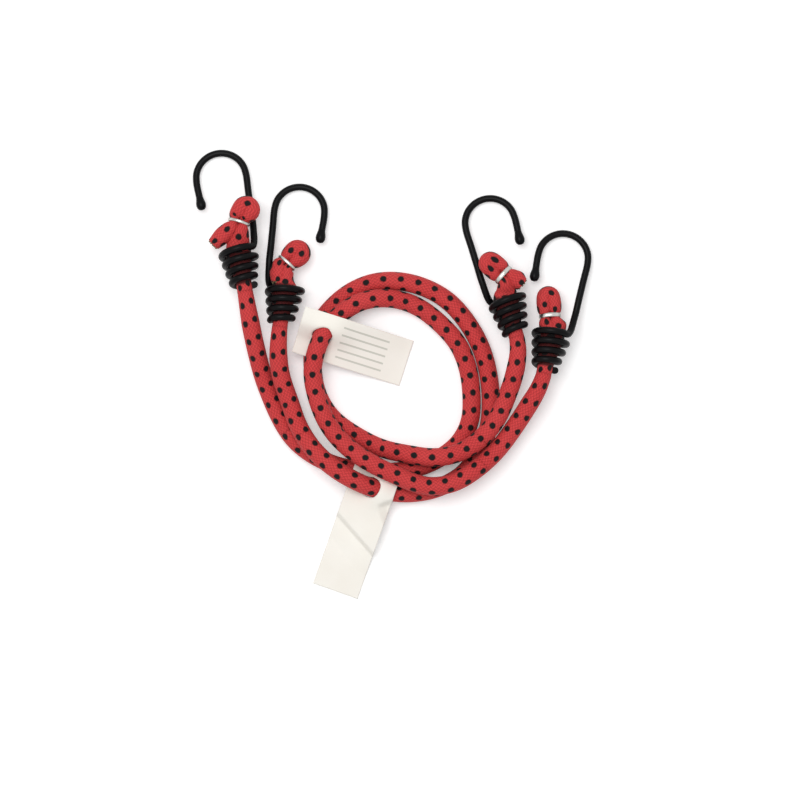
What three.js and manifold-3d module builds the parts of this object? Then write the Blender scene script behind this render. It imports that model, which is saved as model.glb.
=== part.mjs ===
// A pair of hooked bungee cords, looped together and laid on a table with the four hooks up.
// Millimetres, +Z up, +Y towards the hooks. The origin is on the table, under the middle of the hook ends.
import * as THREE from 'three';
import Module from 'manifold-3d';
import { mergeVertices } from 'three/addons/utils/BufferGeometryUtils.js';

// Cord: a braided sheath round a bundle of rubber threads
const cordDiameter = 8;
const cordSides = 8;
const sheathWall = 1.1;
const coreClearance = 0.3;
const cordStep = 8; // length of one straight facet along the looped middle
const stretchGap = 0.3; // where two stretches of one cord meet face to face

// Hook: coated steel wire with a conical coil, a shank, a round crown and a short leg
const wireDiameter = 3.1;
const wireSides = 6;
const wireStep = 3.2;
const coilTurns = 4;
const coilPitch = 4.2;
const coilSqueeze = 1.25; // how far the coil's small end presses into the cord
const coilClearance = 0.3; // between the squeezed cord and the coil's small end
const neckRun = 2.5; // from the end of the free cord to the coil's small end
const coilMouthRadius = 8; // to the middle of the wire at the wide end
const shankLength = 33.6;
const shankFlare = 1; // how much further out the shank is at the crown
const crownRadius = 11.1;
const legLength = 9.1;
const legInward = 0.3;
const beadDiameter = 4.4;
const beadLength = 3.9;

// Folded-back cord end and the wire clip round its waist
const foldSides = 10;
const bulbBend = 3.1; // bend radius of the fold
const bulbHalfWidth = 2.9;
const bulbHalfHeight = 3.2;
const bulbReach = 7; // from the clip to the middle of the fold's bend
const waistSpread = 1.9; // from the middle of the waist to the middle of either leg
const waistHalfWidth = 1.65;
const waistHalfHeight = 2.5;
const clipWireDiameter = 1.5;
const waistLength = 3.2;
const clipClearance = 0.7;
const clipOpening = 24; // degrees left open where the clip's ends meet

// Punched card tag
const tagWidth = 21;
const tagThickness = 0.5;
const tagHoleClearance = 0.9;
const tagHoleReach = 11; // how far along the cord, either way, the hole is worn to its shape
const tagCells = [8, 16];

// Worked out from the sizes above
const cordRadius = cordDiameter / 2;
const wireRadius = wireDiameter / 2;
const flatAngle = Math.PI / cordSides;
const floorHeight = cordRadius * Math.cos(flatAngle); // the cord's middle where a flat side lies on the table
const coilLength = coilTurns * coilPitch;
const coilMouthAlong = neckRun + coilLength; // the coil's wide end
const squeezedRadius = cordRadius - coilSqueeze;
const coilNeckRadius = squeezedRadius + coilClearance + wireRadius;
const shankOffset = coilMouthRadius + shankFlare;
const crownAlong = coilMouthAlong + shankLength;
const hookReach = crownAlong + crownRadius;
// A hook rests on the low side of its widest turn and on its crown
const topTurnAlong = coilMouthAlong - coilPitch / 8;
const hookPitch = Math.atan2(coilMouthRadius, hookReach - topTurnAlong);
const exitHeight = coilMouthRadius * Math.cos(hookPitch) + wireRadius + topTurnAlong * Math.sin(hookPitch);
const straightOut = 1; // how far a lead runs straight out of its coil

// The four ends: where the cord enters the coil, the heading of the hook (0 is +Y, clockwise), the side that
// the shank is on, how much cord is free to stretch, and the fold. The fold's clip and cut end are placed
// along the hook from the coil's wide end and across it towards the shank, with the cut end's half width.
// The standing cord under the clip is placed across the hook, with its half width.
// The lift is above the hook's plane.
const ends = {
  1: {
    at: [-64.1, -13.4], heading: -9.9, shank: 1, lead: 66,
    clip: [11, 2.2], lean: 29, lift: 5.6, standing: [1.9, 3.4], tail: [4.4, -10.3, 3.2],
  },
  2: {
    at: [-48.8, -28.9], heading: 7, shank: -1, lead: 50,
    clip: [9.6, 0.4], lean: -36, lift: 0.4, standing: [-1.7, 2.4], tail: [2.6, 3, 2.1],
  },
  3: {
    at: [55.6, -33.4], heading: -15, shank: -1, lead: 49,
    clip: [9.5, -2], lean: 35, lift: 5.6, standing: [-0.1, 2.6], tail: [2.8, -7.2, 3],
  },
  4: {
    at: [67.6, -49.5], heading: 12.2, shank: 1, lead: 49,
    clip: [6.8, -1.6], lean: -14, lift: 0.4, standing: [-2, 3], tail: [2.6, 4.2, 1.9],
  },
};
const standingHalfHeight = 3.6;
const tailHalfHeight = 3.5;

// The routes between the coils, chosen to lie as the pair lies in its display
const cords = {
  a: {
    from: '1', to: '4',
    points: [
      [-63.4, -17.3, 13.2], [-62.9, -20.3, 13.3], [-62.4, -23.2, 13.1], [-61, -31, 11.9],
      [-59, -40.5, 8.6], [-56.5, -50.5, 5], [-53, -60, 3.8], [-48.5, -70, 3.7],
      [-42.5, -79, 3.7], [-33.5, -86, 3.7], [-23, -90.5, 3.7], [-11, -92.5, 3.7], [1, -93, 3.7],
      [12.5, -91, 3.7], [22.5, -86.5, 3.7], [30.5, -80, 3.7], [35.3, -70.5, 3.7], [35.9, -58.5, 3.7],
      [34.2, -46.5, 3.7], [29.8, -36, 3.7], [22, -27.2, 3.7], [13.2, -20.3, 3.8], [4.4, -16.8, 4.8],
      [-4.8, -16, 7.6], [-13.2, -17.6, 9.4], [-20, -21.4, 10.2], [-25.2, -25.8, 10.8], [-29, -30.6, 11.5],
      [-31.5, -35.8, 12.8], [-33.5, -42, 13.1], [-34.5, -48.5, 12.9], [-32.5, -60, 12.4], [-27.5, -72, 12.4],
      [-19.5, -81.5, 12.6], [-8.5, -89, 13.3], [3, -94.5, 13.2], [15, -99, 12.4], [27, -98, 12.4],
      [37.5, -92, 12.1], [46.8, -83.6, 10.6], [54.8, -73, 10.2], [61.8, -62, 12.5],
      [63.8, -58.8, 13.1], [65.3, -56.1, 13.3], [66.5, -53.3, 13.2],
    ],
  },
  b: {
    from: '2', to: '3',
    points: [
      [-49.2, -32.8, 13.2], [-49.4, -35.8, 13.3], [-49.5, -38.8, 13.1], [-49.3, -45, 12],
      [-48, -52, 9.9], [-44.5, -62, 9], [-40.5, -73, 10.6], [-33.5, -83.5, 12.3],
      [-24.5, -91.5, 12.6], [-18, -95.5, 12.5], [-12.3, -98.3, 11.3], [-7, -100.3, 8.1], [-1.8, -101.6, 5.3],
      [4.6, -102.5, 3.9], [12, -102.2, 3.7], [20, -100.5, 3.7], [31.5, -94.5, 3.7], [39.3, -84.5, 3.7],
      [43.6, -73, 3.7], [44.5, -61, 3.7], [43.2, -48.5, 3.7], [39.6, -36.6, 3.7], [33, -25.3, 3.7],
      [24.6, -16.4, 3.7], [13, -10.4, 3.7], [1.5, -8.2, 3.7], [-8.5, -9.2, 3.7], [-17.4, -13, 3.7],
      [-24.8, -18.8, 3.7], [-30.4, -25.5, 3.7], [-33.8, -34, 3.7], [-34.6, -45.5, 3.7], [-32.8, -57.5, 3.7],
      [-26.5, -68.5, 3.7], [-16, -76.5, 3.7], [-4, -82.5, 4.2], [7.5, -85, 9.4], [19.5, -86.5, 12.4],
      [30, -84.5, 12.5], [39.5, -78.5, 12.5], [47, -69.5, 12], [51.6, -59, 11.8],
      [54.4, -51, 12.4], [56, -43.3, 13.1], [56.4, -40.3, 13.3], [56.3, -37.3, 13.2],
    ],
  },
};

// The tags: the middle of the punched end, the heading of the long side (0 is +Y, clockwise), its length,
// and the card's height over the table, in rows from the punched end and columns from the left, seen from it
const tags = {
  a: {
    cord: 'a', at: [-40.6, -29.8], heading: 107.5, length: 50,
    heights: [
      [14.2, 12, 8.6, 8.3], [15.4, 13.6, 8.3, 8.2], [15.8, 13, 8.6, 7], [12.6, 10, 7.2, 5.4],
      [8.2, 6.4, 4.8, 3.4], [4, 3, 2.1, 1.4], [0.8, 0.5, 0.3, 0.25],
    ],
  },
  b: {
    cord: 'b', at: [-5.3, -91.3], heading: 199.4, length: 58,
    heights: [
      [8.3, 8.4, 8.7, 8.9], [10.6, 10.4, 7, 7.4], [8.6, 7.4, 5.4, 4.2], [5.6, 3.6, 1.9, 1],
      [2.4, 1.1, 0.4, 0.25], [0.5, 0.3, 0.25, 0.25], [0.25, 0.25, 0.25, 0.25],
    ],
  },
};

const finishes = {
  sheath: { color: 0xd23c3f, roughness: 0.85, metalness: 0 },
  core: { color: 0xcdbf9a, roughness: 0.7, metalness: 0 },
  wire: { color: 0x18181a, roughness: 0.4, metalness: 0 },
  clip: { color: 0xc9c8c4, roughness: 0.3, metalness: 1 },
  card: { color: 0xf1eee6, roughness: 0.8, metalness: 0 },
};

const up = new THREE.Vector3(0, 0, 1);
const radians = THREE.MathUtils.degToRad;
const wasm = await Module();
wasm.setup();

function piece(name, geometry, finish) {
  const mesh = new THREE.Mesh(geometry, new THREE.MeshStandardMaterial(finishes[finish]));
  mesh.name = name;
  return mesh;
}

// A curve whose cross-sections stay level, so that a flat side of the section faces the table
class LevelCurve extends THREE.Curve {
  computeFrenetFrames(steps) {
    const frames = { tangents: [], normals: [], binormals: [] };
    for (let i = 0; i <= steps; i += 1) {
      const tangent = this.getTangentAt(i / steps);
      const normal = up.clone().cross(tangent).normalize();
      frames.tangents.push(tangent);
      frames.normals.push(normal);
      frames.binormals.push(tangent.clone().cross(normal));
    }
    return frames;
  }
}

// Part of a cord's route, from one length along it to another, never lower than the table lets it
class Stretch extends LevelCurve {
  constructor(route, start, end) {
    super();
    this.route = route;
    this.start = start / route.getLength();
    this.end = end / route.getLength();
  }

  getPoint(t) {
    const point = this.route.getPointAt(THREE.MathUtils.lerp(this.start, this.end, t));
    point.z = Math.max(point.z, floorHeight);
    return point;
  }
}

function polygon(radius, sides, turn = 0) {
  const corners = [];
  for (let i = 0; i < sides; i += 1) {
    const angle = turn + (2 * Math.PI * i) / sides;
    corners.push(new THREE.Vector2(radius * Math.cos(angle), radius * Math.sin(angle)));
  }
  return corners;
}

function tube(path, outerRadius, steps, { sides = cordSides, innerRadius = 0 } = {}) {
  const section = new THREE.Shape(polygon(outerRadius, sides, Math.PI / sides));
  if (innerRadius > 0) section.holes.push(new THREE.Path(polygon(innerRadius, sides, Math.PI / sides)));
  return new THREE.ExtrudeGeometry(section, { steps, extrudePath: path, bevelEnabled: false });
}

// The heading of an end, level with the table
function headingOf(end) {
  return new THREE.Vector3(Math.sin(radians(end.heading)), Math.cos(radians(end.heading)), 0);
}

// The cord enters the coil along the coil's own axis, which slopes down to the crown
function exitOf(end) {
  const axis = headingOf(end).multiplyScalar(Math.cos(hookPitch)).addScaledVector(up, -Math.sin(hookPitch));
  const exit = new THREE.Vector3(...end.at, exitHeight);
  return [exit, exit.clone().addScaledVector(axis, -straightOut)];
}

function routeOf(cord) {
  const middle = cord.points.map((point) => new THREE.Vector3(...point));
  const first = exitOf(ends[cord.from]);
  const last = exitOf(ends[cord.to]).reverse();
  const route = new THREE.CatmullRomCurve3([...first, ...middle, ...last]);
  route.arcLengthDivisions = 1000;
  return route;
}

// Sheath and core of one stretch of cord
function cordStretch(name, path, step) {
  const steps = Math.ceil(path.getLength() / step);
  const innerRadius = cordRadius - sheathWall;
  return [
    piece(`sheath_${name}`, tube(path, cordRadius, steps, { innerRadius }), 'sheath'),
    piece(`core_${name}`, tube(path, innerRadius - coreClearance, steps), 'core'),
  ];
}

// The wire's middle line, from the leg round the crown, down the shank and round the coil.
// Y runs along the coil's axis to the crown and X towards the shank.
function wireLine() {
  const points = [];
  const centre = shankOffset - crownRadius;
  const crownSteps = 8;
  const shankSteps = 4;
  const turnSteps = 12;
  points.push(new THREE.Vector3(centre - crownRadius + legInward, crownAlong - legLength, 0));
  for (let i = 0; i <= crownSteps; i += 1) {
    const angle = Math.PI * (1 - i / crownSteps);
    const across = centre + crownRadius * Math.cos(angle);
    points.push(new THREE.Vector3(across, crownAlong + crownRadius * Math.sin(angle), 0));
  }
  for (let i = 1; i < shankSteps; i += 1) {
    const share = i / shankSteps;
    points.push(new THREE.Vector3(shankOffset - shankFlare * share, crownAlong - shankLength * share, 0));
  }
  for (let i = 1; i <= coilTurns * turnSteps; i += 1) {
    const share = i / (coilTurns * turnSteps);
    const angle = (2 * Math.PI * i) / turnSteps;
    const radius = THREE.MathUtils.lerp(coilMouthRadius, coilNeckRadius, share);
    const along = neckRun + coilLength * (1 - share);
    points.push(new THREE.Vector3(radius * Math.cos(angle), along, radius * Math.sin(angle)));
  }
  return new THREE.CatmullRomCurve3(points);
}

// Least gap between a round tube and itself or another, on points along the middle lines
function leastGap(first, second, diameter, apart = 0) {
  const spacing = diameter / 8;
  const one = first.getSpacedPoints(Math.ceil(first.getLength() / spacing));
  const other = second.getSpacedPoints(Math.ceil(second.getLength() / spacing));
  let least = Infinity;
  one.forEach((point, i) => {
    other.forEach((candidate, j) => {
      if (Math.abs(i - j) * spacing < apart) return;
      least = Math.min(least, point.distanceTo(candidate));
    });
  });
  return least - diameter;
}

function hookWire(line) {
  return tube(line, wireRadius, Math.ceil(line.getLength() / wireStep), { sides: wireSides });
}

// A drop of coating on the end of the leg, with a flat face on the wire's end
function tipBead() {
  const profile = [new THREE.Vector2(0, stretchGap), new THREE.Vector2(wireRadius, stretchGap)];
  const ringSteps = 6;
  for (let i = 1; i <= ringSteps; i += 1) {
    const angle = (Math.PI * (i - 0.5)) / ringSteps;
    const high = stretchGap + (beadLength * (1 - Math.cos(angle))) / 2;
    profile.push(new THREE.Vector2((beadDiameter / 2) * Math.sin(angle), high));
  }
  profile.splice(2, 1);
  profile.push(new THREE.Vector2(0, stretchGap + beadLength));
  return new THREE.LatheGeometry(profile, cordSides);
}

// A tube with an oval section at each point of its line, level in the hook's own plane
function loft(line, sections, sides) {
  const between = 2;
  const steps = between * (sections.length - 1);
  const positions = [];
  const faces = [];
  for (let i = 0; i <= steps; i += 1) {
    const before = Math.min(Math.floor(i / between), sections.length - 2);
    const share = THREE.MathUtils.smoothstep(i / between - before, 0, 1);
    const [halfWidth, halfHeight] = [0, 1].map((k) => (
      THREE.MathUtils.lerp(sections[before][k], sections[before + 1][k], share)
    ));
    const tangent = line.getTangent(i / steps);
    const normal = up.clone().cross(tangent).normalize();
    const binormal = tangent.clone().cross(normal);
    for (const corner of polygon(1, sides, Math.PI / sides)) {
      const point = line.getPoint(i / steps);
      point.addScaledVector(normal, halfWidth * corner.x);
      point.addScaledVector(binormal, halfHeight * corner.y);
      positions.push(...point);
    }
  }
  const ring = (i, k) => i * sides + (k % sides);
  for (let i = 0; i < steps; i += 1) {
    for (let k = 0; k < sides; k += 1) {
      faces.push(ring(i, k), ring(i, k + 1), ring(i + 1, k + 1));
      faces.push(ring(i, k), ring(i + 1, k + 1), ring(i + 1, k));
    }
  }
  for (let k = 1; k < sides - 1; k += 1) {
    faces.push(ring(0, 0), ring(0, k + 1), ring(0, k));
    faces.push(ring(steps, 0), ring(steps, k), ring(steps, k + 1));
  }
  const geometry = new THREE.BufferGeometry();
  geometry.setAttribute('position', new THREE.Float32BufferAttribute(positions, 3));
  geometry.setIndex(faces);
  return geometry;
}

// The frame of a fold: the middle of its waist, the way that it leans and the side that its cut end is on
function foldFrame(end) {
  const lean = radians(end.lean);
  return {
    waist: new THREE.Vector3(end.clip[1], coilMouthAlong + end.clip[0], end.lift * 0.75),
    ahead: new THREE.Vector3(Math.sin(lean), Math.cos(lean), 0),
    aside: new THREE.Vector3(Math.cos(lean), -Math.sin(lean), 0),
    tailSide: Math.sign(end.tail[1]),
  };
}

// The cord's end: squeezed in the coil, up through the waist, round the fold and back out as the cut end
function foldedEnd(end) {
  const { waist, ahead, aside, tailSide } = foldFrame(end);
  const tucked = tailSide > 0;
  const leg = (side, on) => {
    const point = waist.clone().addScaledVector(aside, side * tailSide * waistSpread);
    return point.addScaledVector(ahead, (on * waistLength) / 2);
  };
  const inCoil = (along) => new THREE.Vector3(0, along, 0);
  const bend = waist.clone().addScaledVector(ahead, bulbReach);
  bend.z = end.lift;
  const round = [cordRadius, cordRadius];
  const squeezed = [squeezedRadius, squeezedRadius];
  const pinched = [waistHalfWidth, waistHalfHeight];
  const bulb = [bulbHalfWidth, bulbHalfHeight];
  const standing = leg(-1, -1).lerp(inCoil(coilMouthAlong), 0.5);
  standing.x = end.standing[0];
  const stations = [
    [inCoil(stretchGap / 2), round],
    [inCoil(neckRun - wireRadius), squeezed],
    [inCoil(neckRun + coilPitch), squeezed],
    [inCoil(coilMouthAlong - coilPitch), round],
    [inCoil(coilMouthAlong - 1), round],
    [standing, [end.standing[1], standingHalfHeight]],
    [leg(-1, -1), pinched],
    [leg(-1, 1), pinched],
  ];
  const bendSteps = 4;
  for (let i = 0; i <= bendSteps; i += 1) {
    const angle = (Math.PI * i) / bendSteps;
    const point = bend.clone().addScaledVector(aside, -tailSide * bulbBend * Math.cos(angle));
    stations.push([point.addScaledVector(ahead, bulbBend * Math.sin(angle)), bulb]);
  }
  const [tailAlong, tailAcross, tailHalfWidth] = end.tail;
  const cutEnd = new THREE.Vector3(tailAcross, coilMouthAlong + tailAlong, end.lift * 0.4);
  const tailMiddle = leg(1, -1).lerp(cutEnd, 0.5).addScaledVector(aside, tucked ? 0.5 : 0);
  const flare = [tailHalfWidth, tailHalfHeight];
  const nearlyFlare = pinched.map((value, i) => THREE.MathUtils.lerp(value, flare[i], 0.75));
  stations.push([leg(1, 1), pinched], [leg(1, -1), pinched]);
  stations.push([tailMiddle, nearlyFlare], [cutEnd, flare]);
  // A shank on the left mirrors the across direction
  for (const [point] of stations) point.x *= end.shank;

  const line = new THREE.CatmullRomCurve3(stations.map(([point]) => point));
  const sections = stations.map(([, section]) => section);
  return loft(line, sections, foldSides);
}

// A wire ring squeezed oval round both legs of the fold's waist, with its ends meeting underneath
class ClipCurve extends THREE.Curve {
  constructor(end) {
    super();
    const { waist, aside } = foldFrame(end);
    const margin = clipClearance + clipWireDiameter / 2;
    this.middle = new THREE.Vector3(waist.x * end.shank, waist.y, waist.z);
    this.aside = new THREE.Vector3(aside.x * end.shank, aside.y, 0);
    this.halfWidth = waistSpread + waistHalfWidth + margin;
    this.halfHeight = waistHalfHeight + margin;
  }

  getPoint(t) {
    const open = radians(clipOpening) / 2;
    const angle = -Math.PI / 2 + open + t * 2 * (Math.PI - open);
    const point = this.middle.clone().addScaledVector(this.aside, this.halfWidth * Math.cos(angle));
    return point.addScaledVector(up, this.halfHeight * Math.sin(angle));
  }
}

function wireClip(end) {
  const steps = 20;
  return tube(new ClipCurve(end), clipWireDiameter / 2, steps, { sides: wireSides });
}

// Hook, bead, fold and clip of one end, in a group that is turned to the hook's heading and pitch
function hookEnd(number, end, line) {
  const group = new THREE.Group();
  group.position.set(...end.at, exitHeight);
  group.rotation.set(-hookPitch, 0, -radians(end.heading), 'ZXY');
  const hook = new THREE.Group();
  hook.rotation.y = end.shank > 0 ? 0 : Math.PI;
  const bead = piece(`tip_bead_${number}`, tipBead(), 'wire');
  const legEnd = line.getPoint(0);
  bead.position.copy(legEnd);
  bead.quaternion.setFromUnitVectors(new THREE.Vector3(0, 1, 0), line.getTangent(0).negate());
  hook.add(piece(`hook_${number}`, hookWire(line), 'wire'), bead);
  group.add(hook);
  group.add(piece(`folded_end_${number}`, foldedEnd(end), 'sheath'));
  group.add(piece(`wire_clip_${number}`, wireClip(end), 'clip'));
  return group;
}

function solid(geometry) {
  const bare = new THREE.BufferGeometry();
  bare.setAttribute('position', geometry.getAttribute('position'));
  if (geometry.index) bare.setIndex(geometry.index);
  const merged = mergeVertices(bare);
  return new wasm.Manifold(
    new wasm.Mesh({
      numProp: 3,
      vertProperties: new Float32Array(merged.getAttribute('position').array),
      triVerts: new Uint32Array(merged.index.array),
    }),
  );
}

function geometryOf(manifold) {
  const mesh = manifold.getMesh();
  const geometry = new THREE.BufferGeometry();
  geometry.setAttribute('position', new THREE.Float32BufferAttribute(mesh.vertProperties, 3));
  geometry.setIndex(new THREE.Uint32BufferAttribute(mesh.triVerts, 1));
  return geometry;
}

// Height of the card at shares across and along, smooth through the tag's rows and columns
function cardHeight(tag, across, along) {
  const through = (values, share) => {
    const spline = new THREE.SplineCurve(values.map((value, i) => new THREE.Vector2(i, value)));
    return spline.getPoint(share).y;
  };
  const column = tag.heights.map((row) => through(row, across));
  return Math.max(through(column, along), tagThickness / 2);
}

// A bent card: a box whose top and bottom follow the heights
function bentCard(tag) {
  const card = new THREE.BoxGeometry(tagWidth, tag.length, tagThickness, ...tagCells, 1);
  const corners = card.getAttribute('position');
  const turn = radians(tag.heading);
  for (let i = 0; i < corners.count; i += 1) {
    const across = corners.getX(i);
    const along = corners.getY(i) + tag.length / 2;
    const x = tag.at[0] + across * Math.cos(turn) + along * Math.sin(turn);
    const y = tag.at[1] - across * Math.sin(turn) + along * Math.cos(turn);
    const height = cardHeight(tag, across / tagWidth + 0.5, along / tag.length);
    corners.setXYZ(i, x, y, height + corners.getZ(i));
  }
  return card;
}

// Where along its route the cord goes through the card
function crossing(tag, route) {
  const turn = radians(tag.heading);
  const points = route.getSpacedPoints(Math.round(route.getLength()));
  let place = 0;
  let least = Infinity;
  points.forEach((point, i) => {
    const x = point.x - tag.at[0];
    const y = point.y - tag.at[1];
    const across = (x * Math.cos(turn) - y * Math.sin(turn)) / tagWidth + 0.5;
    const along = (x * Math.sin(turn) + y * Math.cos(turn)) / tag.length;
    if (Math.min(across, along) < 0 || Math.max(across, along) > 1) return;
    const away = Math.abs(point.z - cardHeight(tag, across, along));
    if (away < least) {
      least = away;
      place = i;
    }
  });
  return place;
}

function punchedCard(tag, route) {
  const place = crossing(tag, route);
  const path = new Stretch(route, place - tagHoleReach, place + tagHoleReach);
  const steps = Math.ceil(path.getLength() / 2.5);
  const punch = tube(path, cordRadius + tagHoleClearance, steps, { sides: 12 });
  return geometryOf(solid(bentCard(tag)).subtract(solid(punch)));
}

const group = new THREE.Group();
const line = wireLine();
const wireGap = leastGap(line, line, wireDiameter, 4 * wireDiameter);
console.log(`hook wire: least gap to itself ${wireGap.toFixed(2)} mm`);

for (const [number, end] of Object.entries(ends)) group.add(hookEnd(number, end, line));

const routes = {};
for (const [name, cord] of Object.entries(cords)) {
  const route = routeOf(cord);
  const length = route.getLength();
  const firstLead = ends[cord.from].lead;
  const lastLead = length - ends[cord.to].lead;
  const half = stretchGap / 2;
  group.add(...cordStretch(`lead_${cord.from}`, new Stretch(route, half, firstLead - half), cordStep));
  group.add(...cordStretch(`loop_${name}`, new Stretch(route, firstLead + half, lastLead - half), cordStep));
  group.add(...cordStretch(`lead_${cord.to}`, new Stretch(route, lastLead + half, length - half), cordStep));
  const gap = leastGap(route, route, cordDiameter, 4 * cordDiameter);
  console.log(`cord ${name}: ${length.toFixed(1)} mm between its coils, gap to itself ${gap.toFixed(2)} mm`);
  routes[name] = route;
}
console.log(`least gap between the cords ${leastGap(routes.a, routes.b, cordDiameter).toFixed(2)} mm`);

for (const [name, tag] of Object.entries(tags)) {
  group.add(piece(`card_tag_${name}`, punchedCard(tag, routes[tag.cord]), 'card'));
}

export default group;
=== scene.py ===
# %% [markdown]
# # Two bungee cords, looped together
#
# The object is a pair of elastic luggage cords, laid on a table in one and a half turns with their four
# hooks up. The imported solids give every place and size. This lesson puts the real look round them: the
# dotted braid, the dipped wire hooks, the zinc clips and the punched card tags.
#
# The first cell loads the solids as a fixed frame.

# %% Load the imported solids
import math

import bmesh
import bpy
from mathutils import Matrix, Vector


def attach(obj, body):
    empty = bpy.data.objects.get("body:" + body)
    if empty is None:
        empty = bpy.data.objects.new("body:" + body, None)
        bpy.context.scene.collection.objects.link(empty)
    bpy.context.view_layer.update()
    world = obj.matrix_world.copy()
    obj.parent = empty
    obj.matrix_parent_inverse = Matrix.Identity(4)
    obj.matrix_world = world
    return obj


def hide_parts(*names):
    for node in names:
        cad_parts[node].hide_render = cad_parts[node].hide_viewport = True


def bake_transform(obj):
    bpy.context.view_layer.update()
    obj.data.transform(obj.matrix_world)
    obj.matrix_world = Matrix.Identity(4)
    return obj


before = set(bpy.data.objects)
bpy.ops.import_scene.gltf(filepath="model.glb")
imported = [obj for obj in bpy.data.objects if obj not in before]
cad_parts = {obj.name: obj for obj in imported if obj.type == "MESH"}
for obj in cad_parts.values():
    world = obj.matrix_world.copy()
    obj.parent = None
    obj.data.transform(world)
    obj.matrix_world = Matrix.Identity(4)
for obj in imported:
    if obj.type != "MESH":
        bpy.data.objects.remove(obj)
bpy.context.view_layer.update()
scene = bpy.context.scene
scene.view_settings.view_transform = "Standard"
MM = 0.001
UP = Vector((0, 0, 1))

# %% [markdown]
# ## The camera
#
# The picture is a flat lay, taken from straight above. A camera far up with a long lens keeps the hooks and
# the cords at one scale, and a new camera already looks straight down with +Y at the top of the picture.

# %% Camera straight above
TABLE_WIDTH = 355.6 * MM  # how much of the table the picture takes in
CAMERA_HEIGHT = 1.6
VIEW_MIDDLE = Vector((4.2, -61.1, 0)) * MM
camera = bpy.data.objects.new("camera", bpy.data.cameras.new("camera"))
camera.data.sensor_width = 36
camera.data.lens = camera.data.sensor_width * CAMERA_HEIGHT / TABLE_WIDTH
camera.location = VIEW_MIDDLE + CAMERA_HEIGHT * UP
scene.collection.objects.link(camera)
scene.camera = camera
print("lens", round(camera.data.lens, 1), "mm")

# %% [markdown]
# ## Where the cords run
#
# A cord is a fixed length of something limp, so its route comes before its skin. Each route starts below one
# coil, follows points chosen along the way it lies, and ends below another coil. A coil slopes down to the
# crown of its hook, because a hook rests on its widest turn and on its crown.

# %% Ends and routes
CORD_RADIUS = 4.07 * MM
FLOOR_HEIGHT = 3.7 * MM  # the middle of a cord that lies on the table, a little flattened
WIRE_RADIUS = 1.55 * MM
COIL_TURNS = 4
COIL_LENGTH = 16.8 * MM
COIL_MOUTH = 8 * MM
NECK_RUN = 2.5 * MM  # from the end of the free cord to the coil's small end
MOUTH_ALONG = NECK_RUN + COIL_LENGTH
SHANK_LENGTH = 33.6 * MM
CROWN_RADIUS = 11.1 * MM
CROWN_ALONG = MOUTH_ALONG + SHANK_LENGTH
TOP_TURN = MOUTH_ALONG - COIL_LENGTH / COIL_TURNS / 8  # about where the widest turn rests
HOOK_PITCH = math.atan2(COIL_MOUTH, CROWN_ALONG + CROWN_RADIUS - TOP_TURN)
EXIT_HEIGHT = COIL_MOUTH * math.cos(HOOK_PITCH) + WIRE_RADIUS + TOP_TURN * math.sin(HOOK_PITCH)
STRAIGHT_OUT = 1 * MM  # how far a cord goes straight on below its coil

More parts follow.
